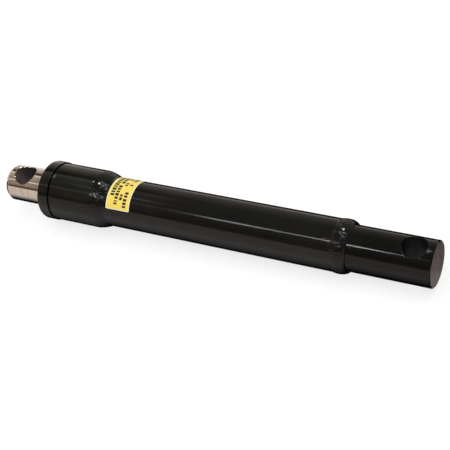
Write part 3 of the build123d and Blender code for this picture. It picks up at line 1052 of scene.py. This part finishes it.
# The studio round the cylinder, as bands about the X axis with an angle from +Y towards +Z, in degrees. The
# first are what rays across the cylinder meet, and the second what rays that lean towards the rod end meet.
NEAR_BANDS = (
    (-180, (0.58, 0.53, 0.48)),
    (-5, (1.00, 0.86, 0.80)),
    (16, (0.98, 0.83, 0.77)),
    (20, (0.20, 0.17, 0.15)),
    (40, (0.19, 0.165, 0.15)),
    (50, (0.27, 0.27, 0.26)),
    (122, (0.27, 0.27, 0.255)),
    (136, (0.35, 0.35, 0.33)),
    (150, (0.45, 0.44, 0.41)),
    (166, (0.49, 0.46, 0.42)),
    (180, (0.58, 0.53, 0.48)),
)
FAR_BANDS = (
    (-180, (0.68, 0.65, 0.60)),
    (-5, (0.90, 0.82, 0.76)),
    (18, (0.95, 0.82, 0.74)),
    (21, (0.11, 0.06, 0.035)),
    (28, (0.13, 0.085, 0.058)),
    (32, (0.34, 0.25, 0.20)),
    (45, (0.47, 0.38, 0.32)),
    (55, (0.40, 0.32, 0.28)),
    (60, (0.45, 0.38, 0.33)),
    (64, (1.70, 1.58, 1.48)),
    (68, (0.40, 0.34, 0.30)),
    (85, (0.48, 0.43, 0.38)),
    (106, (0.62, 0.56, 0.52)),
    (116, (1.15, 1.05, 1.00)),
    (121, (0.95, 0.83, 0.74)),
    (123, (0.05, 0.028, 0.02)),
    (136, (0.08, 0.05, 0.035)),
    (141, (0.38, 0.31, 0.26)),
    (150, (0.52, 0.45, 0.38)),
    (160, (0.75, 0.67, 0.60)),
    (168, (0.86, 0.80, 0.73)),
    (180, (0.68, 0.65, 0.60)),
)
# How much of a ray runs along X where the first bands end and the second begin.
LEAN_FROM, LEAN_TO = 0.45, 0.55


def band_ramp(nodes, turn, bands):
    """The bands' colours, over a turn that runs from 0 at -180 degrees to 1 at 180."""
    return nodes.ramp(turn, [((degrees + 180) / 360, colour) for degrees, colour in bands])


def world():
    """The studio's walls, which light the scene and show in reflections."""
    made = bpy.data.worlds.new("studio")
    made.use_nodes = True
    nodes = Nodes(made.node_tree)
    split = nodes.node("ShaderNodeSeparateXYZ")
    nodes.link(nodes.node("ShaderNodeTexCoord").outputs["Generated"], split.inputs["Vector"])
    angle = nodes.combined(split.outputs["Z"], split.outputs["Y"], "ARCTAN2")
    turn = nodes.ranged(angle, 0.0, 1.0, -math.pi, math.pi)
    near = band_ramp(nodes, turn, NEAR_BANDS)
    far = band_ramp(nodes, turn, FAR_BANDS)
    lean = nodes.ranged(split.outputs["X"], 0.0, 1.0, LEAN_FROM, LEAN_TO)
    nodes.link(nodes.mixed(lean, near, far), nodes.tree.nodes["Background"].inputs["Color"])
    bpy.context.scene.world = made


def camera():
    """The camera, rolled about its line of sight."""
    data = bpy.data.cameras.new("camera")
    data.lens = CAMERA_LENS_MM
    data.sensor_width = CAMERA_SENSOR_MM
    made = added("camera", data)
    made.location = CAMERA_PLACE
    made.rotation_mode = "QUATERNION"
    forward = (Vector(CAMERA_AIM) - Vector(CAMERA_PLACE)).normalized()
    level = forward.to_track_quat("-Z", "Y")
    made.rotation_quaternion = Quaternion(forward, math.radians(CAMERA_ROLL_DEG)) @ level
    bpy.context.scene.camera = made


# ------------------------------------------------------------------ the cylinder


def dress_barrel():
    """Paint on the barrel's parts, with the bar's sawn end, pin hole and port in finishes of their own."""
    paint_node("barrel_tube", PAINT_BARREL)
    paint_node("head_collar", PAINT_COLLAR)
    lug = paint_node("base_lug", PAINT_BASE, end_face_paint(), bore_paint(), THREAD_STEEL)
    mark_faces(lug, 1, lambda centre, normal: normal.x < -0.9 and centre.x < BASE_END_X + FACE_MARGIN)
    mark_faces(lug, 2, inside_pin_bore(0.0))
    mark_faces(lug, 3, inside_port)


def dress_rod():
    """Chrome on the rod, scale with painted shade in its pin hole and bare steel on its inner end."""
    inner_end = turned_steel("rod_spigot_steel", (0.42, 0.40, 0.37), (0.30, 0.27, 0.23))
    rod = paint_node("piston_rod", hard_chrome(), pin_hole_scale_and_painted_shade(), inner_end)
    mark_faces(rod, 1, inside_pin_bore(ROD_PIN_X))
    shoulder = x_span("stop_guide")[1] + 2 * FACE_MARGIN
    mark_faces(rod, 2, lambda centre, _: centre.x < shoulder)


def dress_inside():
    """Finishes for the seals, guides and rings that the barrel hides."""
    packing = woven_packing()
    phenolic = plain_finish("phenolic", (0.17, 0.10, 0.055), (0.11, 0.065, 0.035), (0.4, 0.55))
    finishes = {
        "gland_bushing": plain_finish(
            "bronze", (0.60, 0.38, 0.17), (0.46, 0.27, 0.12), (0.25, 0.4), metallic=1.0
        ),
        "packing_header": phenolic,
        "packing_follower": phenolic,
        "packing_washer": turned_steel("washer_steel", (0.46, 0.45, 0.43), (0.34, 0.32, 0.29)),
        "nut_o_ring": plain_finish("nitrile", (0.018, 0.018, 0.018), (0.03, 0.03, 0.03), (0.45, 0.6)),
        "rod_wiper": plain_finish(
            "polyurethane", (0.30, 0.09, 0.02), (0.22, 0.065, 0.015), (0.35, 0.5), blob=0.003
        ),
        "stop_guide": turned_steel("guide_steel", (0.42, 0.41, 0.39), (0.30, 0.28, 0.25)),
        "stop_wear_ring": plain_finish("nylon", (0.72, 0.69, 0.60), (0.64, 0.60, 0.50), (0.4, 0.55)),
        "snap_ring": turned_steel("spring_steel", (0.14, 0.13, 0.12), (0.08, 0.07, 0.06)),
    }
    for node in NODES:
        if node.startswith("vee_packing_ring"):
            finishes[node] = packing
    for node, finish in finishes.items():
        paint_node(node, finish)


bpy.context.scene.view_settings.view_transform = "Standard"
camera()
world()
lights()
floor()
# Dark cards seen only in reflections: painted shade along the cylinder's lower and upper edges.
painted_shade_card("painted_shade_card_front", near_y=26.5 * MM, far_y=74 * MM, far_alpha=0.15, end_x=FLOOR_REACH)
painted_shade_card("painted_shade_card_back", near_y=-150 * MM, far_y=-340 * MM, far_alpha=0.0, end_x=0.47)
warm_gels()
dress_barrel()
dress_rod()
dress_inside()
collar_bead()
base_bead()
packing_nut()
port_thread()
label()
